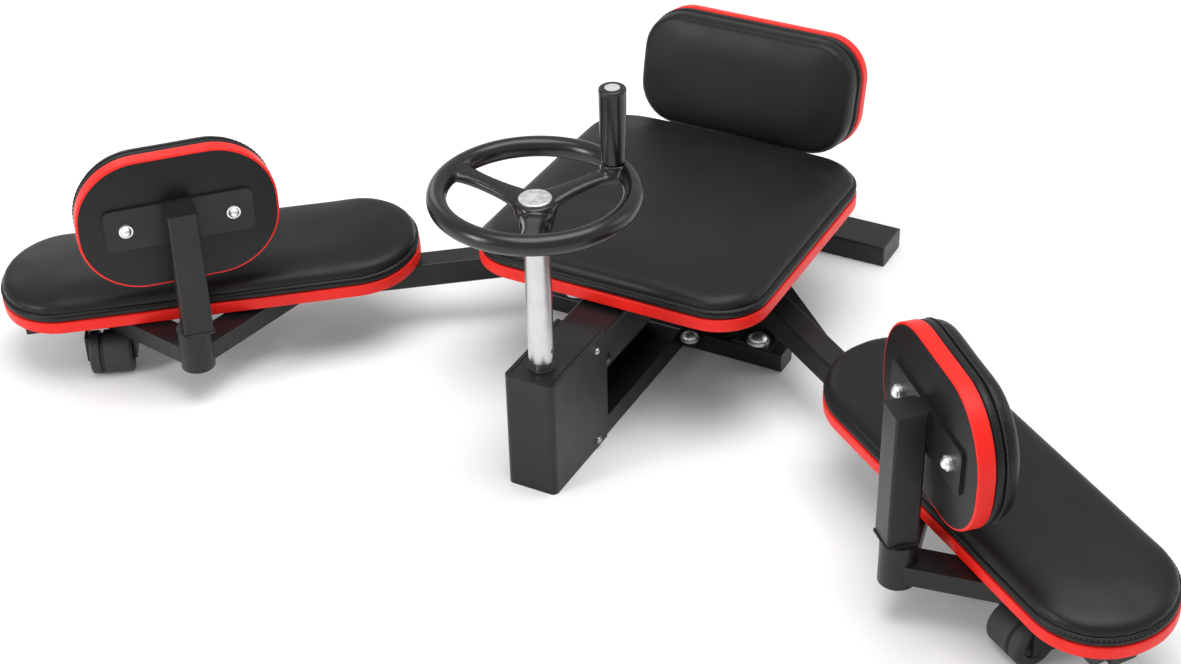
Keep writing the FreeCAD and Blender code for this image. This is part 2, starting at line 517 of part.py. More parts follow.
def bevel_gear():
    """Mitre gear about Z with its cone's point at the origin; the teeth taper towards that point."""
    size = D.gear_radius
    inner = D.gear_inner_share
    slant = 1 / math.sqrt(2)
    rise = {"root": -D.gear_root_depth, "tip": D.gear_tip_height}
    half_width = {"root": D.gear_root_width / 2, "tip": D.gear_tip_width / 2}

    def section(scale):
        corners = (("root", -1), ("tip", -1), ("tip", 1), ("root", 1))
        points = [Vector(size + rise[part] * slant, side * half_width[part], size - rise[part] * slant)
                  for part, side in corners]
        points = [point * scale for point in points]
        return Part.makePolygon(points + points[:1])

    tooth = Part.makeLoft([section(inner), section(1.0)], True, True)
    blank_rise = (rise["root"] + D.gear_root_overlap) * slant
    root_radius = size + blank_rise
    root_level = size - blank_rise
    blank = Part.makeCone(root_radius * inner, root_radius, root_level * (1 - inner),
                          Vector(0, 0, root_level * inner))
    hub = Part.makeCylinder(D.gear_hub_radius, D.gear_hub_length, Vector(0, 0, root_level))
    step = 360 / D.gear_teeth
    teeth = [tooth.rotated(Vector(), Z_AXIS, step * number) for number in range(int(D.gear_teeth))]
    drill = Part.makeCylinder(D.shaft_radius, D.bore_length, Vector())
    return blank.multiFuse([hub] + teeth).cut(drill).removeSplitter()


def drive():
    shape = bevel_gear()
    apex = Vector(0, along(0), D.screw_level)
    half_step = 180 / D.gear_teeth
    for label, turn in (("column_gear", Rotation(Z_AXIS, 90)),
                        ("screw_gear", Rotation(X_AXIS, -90) * Rotation(Z_AXIS, 90 + half_step))):
        gear = doc.addObject("Part::Feature", label + "_feature")
        gear.Shape = shape
        node(gear, label, Placement(apex, turn))
    screw = rod("screw", "screw_radius", "screw_end - screw_start",
                (0, along(D.screw_start), D.screw_level), Y_AXIS)
    node(screw, "lead_screw")
    bearings = []
    for name, start in (("front", D.bearing_front), ("rear", D.bearing_rear)):
        plate = block("bearing_" + name, "beam_width - 2 * beam_wall", "bearing_thickness",
                      "bearing_height",
                      (0, along(start + D.bearing_thickness / 2), D.screw_level - D.bearing_height / 2))
        drill = bore("bearing_bore_" + name, "screw_radius + running_gap",
                     (0, along(start - D.overshoot), D.screw_level), Y_AXIS)
        bearings.append(cut("bearing_cut_" + name, plate, drill))
    node(group("bearings", *bearings), "screw_bearings")

    y = along(D.hinge_distance + D.crosshead_offset)
    body = block("nut_body", "nut_width", "nut_length", "nut_height", (0, y, D.nut_bottom))
    drill = bore("nut_bore", "screw_radius + running_gap", (0, y - D.nut_length, D.screw_level), Y_AXIS)
    node(cut("nut_cut", body, drill), "crosshead_nut")
    bar = block("crosshead_beam", "crosshead_bar_length", "crosshead_bar_depth", "crosshead_bar_height",
                (0, y, D.crosshead_bar_bottom))
    bores, pins = [], []
    for side in (-1, 1):
        x = side * D.crosshead_pin_x
        bores.append(bore(f"crosshead_bore_{side + 1}", "crosshead_pin_radius", (x, y, 0)))
        stem = rod(f"crosshead_stem_{side + 1}", "crosshead_pin_radius", "crosshead_pin_length",
                   (x, y, D.crosshead_bar_bottom))
        head = rod(f"crosshead_head_{side + 1}", "crosshead_head_radius", "crosshead_head_height",
                   (x, y, D.crosshead_head_level))
        pins.append(fuse(f"crosshead_pin_{side + 1}", stem, head))
    node(cut("crosshead_cut", bar, *bores), "crosshead_bar")
    node(group("crank_pins", *pins), "crosshead_pins")


# ---------------------------------------------------------------- legs
def leg_frame():
    """Frame of the right leg: origin on the floor under its hinge, X outwards along the leg."""
    turn = Rotation(Z_AXIS, D.leg_angle - 90)
    return Placement(Vector(D.hinge_offset, along(D.hinge_distance), 0), turn)


def leg_node(feature, label, local=None):
    """A right leg sub-part in the leg's frame, and its mirror image on the left."""
    right = node(feature, "right_" + label, leg_frame() * (local or Placement()))
    mirrored(right, "left_" + label)


def arm_block(name):
    """The sloping square arm, or the space that it fills."""
    arm = block(name, "arm_length", "arm_size", "arm_size", (0, 0, 0))
    place = Placement(Vector(0, D.arm_side, D.arm_level), Rotation(Y_AXIS, D.arm_slope))
    arm.Placement = place * Placement(Vector(0, -D.arm_size / 2, -D.arm_size / 2), Rotation())
    return arm


def leg_arm():
    hub = block("leg_hub", "hub_size", "hub_size", "hub_height_leg", (0, 0, D.hub_bottom))
    hub_round = round_edges("leg_hub_round", hub, D.hub_corner, lambda a, b: abs(a.z - b.z) > D.hub_corner)
    outline = [Vector(D.gusset_start, -1, 0), Vector(D.gusset_start, D.gusset_side, 0),
               Vector(D.gusset_flat, D.gusset_side, 0), Vector(D.gusset_end, -1, 0)]
    face = Part.Face(Part.makePolygon(outline + outline[:1]))
    gusset = doc.addObject("Part::Feature", "leg_gusset_web")
    gusset.Shape = face.extrude(Vector(0, 0, D.gusset_height))
    gusset.Placement = Placement(Vector(0, 0, D.arm_level - D.gusset_height / 2 + 1),
                                 Rotation(Y_AXIS, D.arm_slope))
    crank = crank_plate()
    hinge_hole = bore("leg_bore", "bush_radius", (0, 0, 0))
    arm = round_long_edges("arm_round", arm_block("arm_outer"))
    solid = fuse("leg_weld", hub_round, arm, gusset, crank)
    leg_node(cut("leg_arm_cut", solid, hinge_hole), "leg_arm")
    sleeve = rod("bush", "bush_radius", "hub_height_leg", (0, 0, D.hub_bottom))
    pin_hole = bore("bush_inner", "hinge_pin_radius + running_gap", (0, 0, 0))
    leg_node(cut("leg_bush_cut", sleeve, pin_hole), "hinge_bush")


def crank_plate():
    """Slotted crank that the crosshead pin drives."""
    arm = block("crank_bar", "crank_length", "crank_width", "crank_thickness", (0, 0, 0))
    arm.Placement = Placement(Vector(0, -D.crank_width / 2, D.crank_bottom), Rotation())
    end = rod("crank_end", "crank_width / 2", "crank_thickness", (D.crank_length, 0, D.crank_bottom))
    slot = block("crank_slot", "slot_end - slot_start", "2 * slot_radius", "crank_thickness + 2 * overshoot",
                 ((D.slot_start + D.slot_end) / 2, 0, D.crank_bottom - D.overshoot))
    ends = [bore(f"crank_slot_end_{int(spot)}", "slot_radius", (spot, 0, 0))
            for spot in (D.slot_start, D.slot_end)]
    crank = cut("crank_cut", fuse("crank_blank", arm, end), slot, *ends)
    crank.Placement = Placement(Vector(), Rotation(Z_AXIS, D.crank_angle))
    return crank


def braces_and_post():
    """V of two flat tubes, the round socket at its point and the square post on it."""
    spot = (D.socket_centre, D.socket_side)
    slope = Rotation(Y_AXIS, D.brace_slope)
    bars = []
    for turn in (45, 135):
        bar = block(f"brace_{turn}", "brace_length", "brace_width", "brace_height", (0, 0, 0))
        place = Placement(Vector(*spot, D.brace_bottom), slope * Rotation(Z_AXIS, turn))
        bar.Placement = place * Placement(Vector(0, -D.brace_width / 2, 0), Rotation())
        bars.append(bar)
    bars.append(rod("socket", "socket_radius", "socket_height", (*spot, D.socket_bottom)))
    arm_space = arm_block("arm_space_brace")
    beyond = block("brace_trim", "trim_length", "trim_width", "trim_width",
                   (D.socket_centre, D.arm_side + D.trim_width / 2, 0))
    leg_node(cut("brace_cut", fuse("brace_weld", *bars), arm_space, beyond), "v_brace")
    base = D.socket_bottom + D.socket_height
    post = block("post", "post_size", "post_size", "post_top - socket_bottom - socket_height",
                 (0, -D.stub_length - D.post_size / 2, base))
    stub = block("post_stub", "stub_width", "stub_length + 1", "stub_height",
                 (0, -(D.stub_length + 1) / 2, D.post_top - D.stub_height))
    leg_node(fuse("post_weld", round_long_edges("post_round", post), stub), "pad_post", upright_frame())


def upright_frame():
    """Frame of a side pad's post: origin on the floor behind the plate's back face, X along the plate."""
    return Placement(Vector(D.socket_centre, D.oval_plate_side, 0), Rotation(Z_AXIS, D.oval_toe))


def oval_frame():
    """Frame of a side pad: origin on the plate's back face, Z towards the leg, Y down."""
    return upright_frame() * Placement(Vector(0, 0, D.oval_level), Rotation(X_AXIS, -90))


def side_pad():
    """Upright oval pad on the inner side of the leg, with its plate and nuts."""
    plate = rounded_plate("oval_plate_body", "oval_plate_length", "oval_plate_height", "nut_radius",
                          "plate_thickness")
    leg_node(plate, "side_pad_plate", oval_frame())
    board = rounded_plate("oval_board_body", "oval_length", "oval_height", "oval_corner",
                          "oval_board_thickness")
    leg_node(board, "side_pad_board", oval_frame() * Placement(Vector(0, 0, D.plate_thickness), Rotation()))
    cushion = rounded_plate("oval_cushion_body", "oval_length", "oval_height", "oval_corner",
                            "oval_pad_thickness", "pad_edge")
    level = D.plate_thickness + D.oval_board_thickness
    leg_node(cushion, "side_pad_cushion", oval_frame() * Placement(Vector(0, 0, level), Rotation()))
    nuts = [dome(f"oval_nut_{side + 1}", "nut_radius", "nut_dome", (side * D.oval_bolt_spread / 2, 0, 0),
                 -Z_AXIS) for side in (-1, 1)]
    leg_node(group("oval_nuts", *nuts), "side_pad_nuts", oval_frame())


def pad_frame():
    """Frame of a leg pad: origin at the middle of the board's underside, X along the leg."""
    turn = Rotation(Y_AXIS, D.pad_slope) * Rotation(X_AXIS, D.pad_roll)
    return Placement(Vector(D.pad_centre, D.pad_side, D.pad_level), turn)


def leg_pad():
    board = rounded_plate("leg_board_body", "pad_length", "pad_width", "pad_corner", "board_thickness")
    leg_node(board, "leg_board", pad_frame())
    cushion = rounded_plate("leg_cushion_body", "pad_length", "pad_width", "pad_corner",
                            "leg_pad_thickness", "pad_edge")
    leg_node(cushion, "leg_cushion", pad_frame() * Placement(Vector(0, 0, D.board_thickness), Rotation()))
    blocks = []
    for name, spot in (("near", D.saddle_near), ("far", D.saddle_far)):
        blocks.append(block("saddle_" + name, "saddle_length", "saddle_width", "saddle_depth",
                            (spot, 0, -D.saddle_depth)))
    saddles = fuse("saddles", *blocks)
    saddles.Placement = pad_frame()
    leg_node(cut("saddle_cut", saddles, arm_block("arm_space_saddle")), "pad_saddles")


def caster():
    """Floor roller between two ears on the inner side of the arm; it turns about the leg's length."""
    spot_u, spot_w = D.caster_centre, D.caster_side
    gap = D.caster_width / 2 + D.caster_gap
    ear_start = D.arm_side - D.arm_size / 2
    ear_end = spot_w - D.ear_reach
    ears = []
    for side in (-1, 1):
        spot = (spot_u + side * (gap + D.ear_thickness / 2), (ear_start + ear_end) / 2, D.ear_bottom)
        ears.append(block(f"ear_{side + 1}", "ear_thickness",
                          "arm_side - arm_size / 2 - caster_side + ear_reach", "ear_top - ear_bottom", spot))
    axle_start = spot_u - gap - D.ear_thickness
    axle = rod("axle", "axle_radius", "caster_width + 2 * caster_gap + 2 * ear_thickness",
               (axle_start, spot_w, D.caster_radius), X_AXIS)
    leg_node(fuse("caster_weld", *ears, axle), "caster_bracket")
    start = (spot_u - D.caster_width / 2, spot_w, D.caster_radius)
    wheel = rod("wheel", "caster_radius", "caster_width", start, X_AXIS)
    axle_hole = rod("wheel_axle_bore", "axle_radius + 2 * running_gap", "caster_width", start, X_AXIS)
    leg_node(cut("wheel_cut_caster", wheel, axle_hole), "caster_roller")


# ---------------------------------------------------------------- assembly
def check_and_export():
    doc.recompute()
    for feature in doc.Objects:
        bad = [state for state in feature.State if state in ("Invalid", "Error")]
        if bad:
            raise RuntimeError(f"{feature.Name} is {bad}")
    os.makedirs("parts", exist_ok=True)
    for feature in NODES:
        shape = feature.Shape
        if shape.isNull() or not shape.isValid() or shape.Volume < 1:
            raise RuntimeError(f"{feature.Label} has no valid solid")
    for feature in NODES:
        feature.Shape.exportStep(f"parts/{feature.Label}.step")
    print(len(NODES), "sub-parts")


main_beam()
gear_housing()
hinges()
seat()
backrest()
cushion_bolts()
hand_wheel()
drive()
leg_arm()
braces_and_post()
side_pad()
leg_pad()
caster()
check_and_export()
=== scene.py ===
"""Looks of the hand-wheel leg stretcher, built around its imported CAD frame. Metres, +Z up."""
import json
import math

import bmesh
import bpy
import numpy as np
from mathutils import Matrix, Vector


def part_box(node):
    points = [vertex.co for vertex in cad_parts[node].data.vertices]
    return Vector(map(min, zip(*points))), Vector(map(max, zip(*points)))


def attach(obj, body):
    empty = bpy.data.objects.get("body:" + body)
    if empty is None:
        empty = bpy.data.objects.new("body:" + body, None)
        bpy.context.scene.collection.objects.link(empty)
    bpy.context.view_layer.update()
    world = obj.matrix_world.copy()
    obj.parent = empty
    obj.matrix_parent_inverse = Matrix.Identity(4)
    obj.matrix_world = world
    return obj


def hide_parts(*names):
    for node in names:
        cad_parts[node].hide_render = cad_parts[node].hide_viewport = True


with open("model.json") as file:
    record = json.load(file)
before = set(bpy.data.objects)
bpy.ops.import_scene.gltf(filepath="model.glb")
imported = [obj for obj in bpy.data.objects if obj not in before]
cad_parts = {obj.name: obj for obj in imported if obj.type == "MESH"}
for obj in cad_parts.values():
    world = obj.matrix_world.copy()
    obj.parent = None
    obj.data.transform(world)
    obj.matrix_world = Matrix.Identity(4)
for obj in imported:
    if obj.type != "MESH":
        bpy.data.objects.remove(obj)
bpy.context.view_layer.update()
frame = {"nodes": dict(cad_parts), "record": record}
MM = 0.001
RECORD = frame["record"]
JOINTS = {joint["name"]: joint for joint in RECORD["behaviour"]["joints"]}
SLOT_OF = {part["node"]: part["material_slot"] for part in RECORD["subparts"]}
SIDES = {"right": 1, "left": -1}


# ---------------------------------------------------------------- materials
def new_material(name, colour, roughness, metallic=0.0, **sockets):
    """Principled material; plain numbers go straight on the shader's sockets."""
    material = bpy.data.materials.new(name)
    material.use_nodes = True
    shader = material.node_tree.nodes["Principled BSDF"]
    shader.inputs["Base Color"].default_value = (*colour, 1)
    shader.inputs["Roughness"].default_value = roughness
    shader.inputs["Metallic"].default_value = metallic
    for socket, value in sockets.items():
        shader.inputs[socket.replace("_", " ")].default_value = value
    material.diffuse_color = (*colour, 1)
    return material


def add(material, kind, **values):
    """New node with its attributes and unlinked inputs set."""
    item = material.node_tree.nodes.new(kind)
    for key, value in values.items():
        if hasattr(item, key):
            setattr(item, key, value)
        else:
            item.inputs[key.replace("_", " ")].default_value = value
    return item


def link(material, source, target):
    """Join one node's output to another's input."""
    material.node_tree.links.new(source, target)


def noise(material, scale, detail=3.0, stretch=(1, 1, 1)):
    """Noise in metres of the object's own space."""
    place = add(material, "ShaderNodeTexCoord")
    mapping = add(material, "ShaderNodeMapping", Scale=stretch)
    texture = add(material, "ShaderNodeTexNoise", Scale=scale, Detail=detail)
    link(material, place.outputs["Object"], mapping.inputs["Vector"])
    link(material, mapping.outputs["Vector"], texture.inputs["Vector"])
    return texture.outputs["Fac"]


def cells(material, scale):
    """Distance to the edge of leather-like cells."""
    place = add(material, "ShaderNodeTexCoord")
    texture = add(material, "ShaderNodeTexVoronoi", feature="DISTANCE_TO_EDGE", Scale=scale)
    link(material, place.outputs["Object"], texture.inputs["Vector"])
    return texture.outputs["Distance"]


def spread(material, source, low, high, target):
    """Map a 0 to 1 value onto low to high and feed it to a shader input."""
    ramp = add(material, "ShaderNodeMapRange")
    ramp.inputs["To Min"].default_value = low
    ramp.inputs["To Max"].default_value = high
    link(material, source, ramp.inputs["Value"])
    link(material, ramp.outputs["Result"], target)


def tint(material, source, dark, light):
    """Colour that wanders between two shades."""
    ramp = add(material, "ShaderNodeValToRGB")
    ramp.color_ramp.elements[0].position = 0.35
    ramp.color_ramp.elements[1].position = 0.65
    ramp.color_ramp.elements[0].color = (*dark, 1)
    ramp.color_ramp.elements[1].color = (*light, 1)
    link(material, source, ramp.inputs["Fac"])
    link(material, ramp.outputs["Color"], shader_of(material).inputs["Base Color"])


def shader_of(material):
    """The material's Principled shader."""
    return material.node_tree.nodes["Principled BSDF"]


def bumps(material, *layers):
    """Chain of bumps: (height source, strength, depth in metres)."""
    normal = None
    for height, strength, depth in layers:
        bump = add(material, "ShaderNodeBump", Strength=strength, Distance=depth)
        link(material, height, bump.inputs["Height"])
        if normal:
            link(material, normal, bump.inputs["Normal"])
        normal = bump.outputs["Normal"]
    link(material, normal, shader_of(material).inputs["Normal"])


def vinyl(name, dark, light, roughness):
    """Leatherette: pebbled grain, soft broad creases and a satin sheen that varies a little."""
    material = new_material(name, light, roughness, Specular_IOR_Level=0.25)
    tint(material, noise(material, 14.0), dark, light)
    spread(material, noise(material, 45.0), roughness - 0.05, roughness + 0.07,
           shader_of(material).inputs["Roughness"])
    bumps(material, (noise(material, 9.0, 2.0), 0.3, 0.003), (cells(material, 850.0), 0.35, 0.00025),
          (noise(material, 2600.0, 2.0), 0.2, 0.0001))
    return material


def powder_coat(name):
    """Satin powder coat: fine orange peel, with dust and rub marks that change the gloss."""
    material = new_material(name, (0.013, 0.013, 0.014), 0.36, Specular_IOR_Level=0.34)
    tint(material, noise(material, 22.0), (0.009, 0.009, 0.0098), (0.0135, 0.0135, 0.0143))
    spread(material, noise(material, 60.0, 5.0), 0.3, 0.44, shader_of(material).inputs["Roughness"])
    bumps(material, (noise(material, 420.0, 2.0), 0.12, 0.0004), (noise(material, 1700.0, 3.0), 0.2, 0.00012))
    return material


def moulded(name, colour, roughness, peel):
    """Moulded plastic or rubber with faint flow marks."""
    material = new_material(name, colour, roughness)
    spread(material, noise(material, 90.0), roughness - 0.04, roughness + 0.06,
           shader_of(material).inputs["Roughness"])
    tint(material, noise(material, 30.0), tuple(c * 0.8 for c in colour), tuple(c * 1.25 for c in colour))
    bumps(material, (noise(material, 160.0, 2.0), peel, 0.0005), (noise(material, 1500.0, 3.0), peel, 0.0001))
    return material


def metal(name, colour, roughness, stretch=(1, 1, 1), scale=500.0, brushed=0.1):
    """Bare or plated metal with fine polishing lines along its smooth direction."""
    material = new_material(name, colour, roughness, metallic=1.0)
    lines = noise(material, scale, 4.0, stretch)
    spread(material, lines, roughness * 0.7, roughness * 1.4, shader_of(material).inputs["Roughness"])
    tint(material, noise(material, 70.0), tuple(c * 0.9 for c in colour), colour)
    bumps(material, (lines, brushed, 0.0001))
    return material


def mottled_cap():
    """Worn bright cap: cloudy patches of duller metal over a brushed face."""
    material = new_material("brushed_cap", (0.9, 0.9, 0.9), 0.4, metallic=1.0)
    clouds = noise(material, 150.0, 5.0)
    tint(material, clouds, (0.66, 0.66, 0.67), (0.97, 0.97, 0.97))
    spread(material, noise(material, 260.0, 3.0), 0.3, 0.52, shader_of(material).inputs["Roughness"])
    bumps(material, (clouds, 0.25, 0.0006), (noise(material, 900.0, 3.0), 0.2, 0.0001))
    return material


MATERIALS = {
    "black_vinyl": vinyl("black_vinyl", (0.007, 0.007, 0.0074), (0.0098, 0.0098, 0.0102), 0.38),
    "red_vinyl": vinyl("red_vinyl", (0.76, 0.013, 0.008), (0.88, 0.02, 0.012), 0.4),
    "black_paint": powder_coat("black_paint"),
    "gloss_black": moulded("gloss_black", (0.006, 0.006, 0.0065), 0.25, 0.1),
    "chrome_tube": metal("chrome_tube", (0.6, 0.6, 0.61), 0.24, stretch=(1, 1, 0.02), scale=900.0,
                         brushed=0.25),
    "chrome_nut": metal("chrome_nut", (0.93, 0.93, 0.94), 0.4, scale=300.0),
    "brushed_cap": mottled_cap(),
    "dark_screw": metal("dark_screw", (0.5, 0.5, 0.51), 0.25),
    "dark_steel": metal("dark_steel", (0.2, 0.2, 0.21), 0.35),
    "bronze": metal("bronze", (0.62, 0.42, 0.2), 0.35),
    "black_rubber": moulded("black_rubber", (0.02, 0.02, 0.021), 0.6, 0.3),
    "black_plastic": moulded("black_plastic", (0.018, 0.018, 0.019), 0.45, 0.2),
    "thread": moulded("thread", (0.03, 0.03, 0.031), 0.7, 0.4),
}


# ---------------------------------------------------------------- mesh helpers
def make_object(name, vertices, faces, slot):
    """New smooth-shaded piece in one of the materials."""
    mesh = bpy.data.meshes.new(name)
    mesh.from_pydata([tuple(v) for v in vertices], [], faces)
    mesh.validate()
    piece = bpy.data.objects.new(name, mesh)
    bpy.context.scene.collection.objects.link(piece)
    paint(piece, slot)
    mesh.shade_smooth()
    return piece


def paint(piece, slot):
    """Give a piece one of the materials, named by slot."""
    piece.data.materials.clear()
    piece.data.materials.append(MATERIALS[slot])


def face_outwards(piece):
    """Turn every face's normal outwards."""
    mesh = bmesh.new()
    mesh.from_mesh(piece.data)
    bmesh.ops.recalc_face_normals(mesh, faces=mesh.faces)
    mesh.to_mesh(piece.data)
    mesh.free()
    return piece


def sharpen(piece, degrees=40):
    """Smooth shading with hard creases above an angle."""
    piece.data.set_sharp_from_angle(angle=math.radians(degrees))
    return piece


def bake_modifiers(piece):
    """Apply every modifier on a piece."""
    graph = bpy.context.evaluated_depsgraph_get()
    mesh = bpy.data.meshes.new_from_object(piece.evaluated_get(graph))
    piece.modifiers.clear()
    piece.data = mesh
    return piece


def remesh(piece, size, smoothing):
    """One closed skin around everything in the mesh, with softened creases."""
    shell = piece.modifiers.new("skin", "REMESH")
    shell.mode = "VOXEL"
    shell.voxel_size = size
    shell.use_smooth_shade = True
    relax = piece.modifiers.new("relax", "SMOOTH")
    relax.factor = 0.5
    relax.iterations = smoothing
    return bake_modifiers(piece)


def ring(length, width, corner, inset, level, steps=14):
    """Points of a rounded rectangle, pulled in by an inset, at one level."""
    radius = max(corner - inset, 0.5 * MM)
    half_x = length / 2 - inset - radius
    half_y = width / 2 - inset - radius
    points = []
    for quarter, (sign_x, sign_y) in enumerate(((1, 1), (-1, 1), (-1, -1), (1, -1))):
        for step in range(steps + 1):
            angle = (quarter + step / steps) * math.pi / 2
            points.append(Vector((sign_x * half_x + radius * math.cos(angle),
                                  sign_y * half_y + radius * math.sin(angle), level)))
    return points


def skin(rings, closed=False):
    """Form drawn through rings of points: its ends are capped, or joined to each other if it is closed."""
    count = len(rings[0])
    vertices = [point for row in rings for point in row]
    faces = []
    for row in range(len(rings) if closed else len(rings) - 1):
        low, high = row * count, (row + 1) % len(rings) * count
        for index in range(count):
            after = (index + 1) % count
            faces.append((low + index, low + after, high + after, high + index))
    if not closed:
        faces.append(tuple(reversed(range(count))))
        faces.append(tuple(range(len(vertices) - count, len(vertices))))
    return vertices, faces


def circle(radius, level, steps):
    """Points of a level circle about Z."""
    angles = [2 * math.pi * step / steps for step in range(steps)]
    return [Vector((radius * math.cos(a), radius * math.sin(a), level)) for a in angles]


def swept(size, profile):
    """Closed form whose side follows a profile of (inset, level) pairs from bottom to top."""
    return skin([ring(*size, inset, level) for inset, level in profile])


def turned(profile, steps=64):
    """Solid of revolution about Z from (radius, level) pairs, bottom to top."""
    return skin([circle(radius, level, steps) for radius, level in profile])


ARC_STEPS = 6


def arc(centre, radius, start, end):
    """Points of an arc in a profile's plane; angles in degrees."""
    angles = [math.radians(start + (end - start) * step / ARC_STEPS) for step in range(ARC_STEPS + 1)]
    return [(centre[0] + radius * math.cos(a), centre[1] + radius * math.sin(a)) for a in angles]


def join(*forms):
    """Several (vertices, faces) forms as one."""
    vertices, faces = [], []
    for form_vertices, form_faces in forms:
        start = len(vertices)
        vertices += form_vertices
        faces += [tuple(start + index for index in face) for face in form_faces]
    return vertices, faces


def moved(form, matrix):
    """A form with its points moved by a matrix."""
    return [matrix @ v for v in form[0]], form[1]


def place(piece, matrix, flip=False):
    """Put a piece's mesh in the row frame; flip mirrors it to the left side."""
    piece.data.transform(Matrix.Scale(-1, 4, (1, 0, 0)) @ matrix if flip else matrix)
    if flip:
        piece.data.flip_normals()
    return piece


OFF_AXIS = Vector((0.31, 0.17, 0.93))  # along no path that is used here
RIPPLE_STEP = 2.1
STRAND_END = 0.45  # of its thickness, where a strand stops


def tube_along(points, radius, closed=False, ripple=0.0, sides=8):
    """Round strand along a path; ripple varies its thickness like a weld bead."""
    count = len(points)
    rings = []
    for index, point in enumerate(points):
        before = points[index - 1] if closed or index else points[0]
        after = points[(index + 1) % count] if closed or index < count - 1 else points[-1]
        ahead = (after - before).normalized()
        side = ahead.cross(OFF_AXIS).normalized()
        up = ahead.cross(side)
        size = radius * (1 + ripple * math.sin(index * RIPPLE_STEP))
        if not closed and index in (0, count - 1):
            size *= STRAND_END
        angles = [2 * math.pi * step / sides for step in range(sides)]
        rings.append([point + side * (size * math.cos(a)) + up * (size * math.sin(a)) for a in angles])
    return skin(rings, closed)


def spaced(corners, step, closed=False):
    """Evenly spaced points along straight runs."""
    points = []
    runs = list(zip(corners, corners[1:] + corners[:1] if closed else corners[1:]))
    for start, end in runs:
        count = max(1, round((end - start).length / step))
        points += [start.lerp(end, index / count) for index in range(count)]
    return points if closed else points + [corners[-1]]


# ---------------------------------------------------------------- pads
def node_points(name):
    """A CAD node's points at rest."""
    return np.array([v.co for v in frame["nodes"][name].data.vertices], float)


def pad_space(board, cushion):
    """Pad frame and sizes read from two CAD nodes: origin under the board's middle, Z into the cushion."""
    faces = [(np.array(face.normal), face.area) for face in frame["nodes"][board].data.polygons]

    def strongest(candidates):
        """Mean normal of the direction with the most face area."""
        totals = {}
        for normal, area in candidates:
            key = tuple(np.round(normal, 2) + 0.0)
            total = totals.setdefault(key, [np.zeros(3), 0.0])
            total[0] += normal * area
            total[1] += area
        best = max(totals.values(), key=lambda total: total[1])[0]
        return best / np.linalg.norm(best)

    flat = strongest(faces)
    inner = node_points(cushion).mean(0) - node_points(board).mean(0)
    z_axis = flat if inner @ flat > 0 else -flat
    side = strongest([(n, a) for n, a in faces if abs(n @ z_axis) < 0.2])
    x_axis = np.cross(side, z_axis)
    # X points up, or towards +X where it is nearly level.
    if x_axis[2] < -0.5 or (abs(x_axis[2]) <= 0.5 and x_axis[0] < 0):
        x_axis = -x_axis
    y_axis = np.cross(z_axis, x_axis)
    axes = np.array([x_axis, y_axis, z_axis])
    local = node_points(board) @ axes.T
    low, high = local.min(0), local.max(0)
    # X runs along the pad's longer side.
    if high[0] - low[0] < high[1] - low[1]:
        x_axis, y_axis = y_axis, -x_axis
        axes = np.array([x_axis, y_axis, z_axis])
        local = node_points(board) @ axes.T
        low, high = local.min(0), local.max(0)
    top = (node_points(cushion) @ axes.T).max(0)[2]
    length, width = (high - low)[:2]
    face_area = sum(a for n, a in faces if n @ z_axis > 0.99)
    corner = math.sqrt(max(length * width - face_area, 0) / (4 - math.pi))
    origin = np.array([*((low + high)[:2] / 2), low[2]]) @ axes
    matrix = Matrix([[*axes[:, row], origin[row]] for row in range(3)] + [[0, 0, 0, 1]])
    return matrix, (length, width, min(corner, width / 2 - MM)), high[2] - low[2], top - high[2]


def band(size, thickness):
    """Board wrapped in a red band that folds a little way over both faces."""
    fold = 1.6 * MM
    reach = 7 * MM
    profile = [(reach, 0.0)]
    profile += arc((fold, fold), fold, -90, -180)
    profile += arc((fold, thickness - fold), fold, 180, 90)
    profile.append((reach, thickness))
    return swept(size, profile)


def backing(size):
    """Black cover stapled on the board's underside, inside the band's folded edge."""
    edge = 2.2 * MM
    profile = [(edge + 1.2 * MM, -0.5 * MM), (edge, -0.1 * MM), (edge, 0.6 * MM)]
    return swept(size, profile)


# Inset, and height above the lower roll, of the points round the welt.
WELT = ((4.0 * MM, 0.3 * MM), (3.4 * MM, 0.7 * MM), (1.2 * MM, 1.1 * MM), (0.8 * MM, 1.7 * MM),
        (1.2 * MM, 2.3 * MM), (4.0 * MM, 2.9 * MM), (8 * MM, 3.0 * MM))


def side_wall(size, board, seam):
    """Lower roll of the cushion's side, sewn to a narrow welt at the seam."""
    start = board + 0.5 * MM
    middle = (start + seam) / 2 - 1.2 * MM
    half = (seam - start) / 2 - 1.6 * MM
    inset, bulge = 2.6 * MM, 1.8 * MM
    profile = [(6 * MM, start), (inset, start)]
    for step in range(9):
        angle = math.radians(-90 + 22.5 * step)
        profile.append((inset - bulge * math.cos(angle), middle + half * math.sin(angle)))
    groove = middle + half
    profile += [(welt_inset, groove + rise) for welt_inset, rise in WELT]
    return swept(size, profile)


def cushion_start(size, seam, top, run):
    """Plain cushion, a little smaller than the space it swells into: its crown falls away to the seam."""
    tucked = seam - 5 * MM
    foot = seam + 1.5 * MM
    side = 1.6 * MM
    profile = [(9 * MM, tucked), (3.6 * MM, tucked), (2.2 * MM, seam), (side, foot)]
    for step in range(1, 9):
        angle = math.radians(90 * step / 8)
        profile.append((side + run * (1 - math.cos(angle)), foot + (top - foot) * math.sin(angle)))
    profile.append((run + 16 * MM, top + 0.6 * MM))
    return swept(size, profile)


def droop(piece, depth):
    """Stretch the lower half of an upright cushion, so that it sags a little below its board."""
    lowest = min(vertex.co.y for vertex in piece.data.vertices)
    for vertex in piece.data.vertices:
        vertex.co.y -= depth * max(0, vertex.co.y / lowest)


SWELL_PRESSURE = 4
SWELL_STIFFNESS = 25
SWELL_FRAMES = 20
SWELL_SMOOTHING = 30


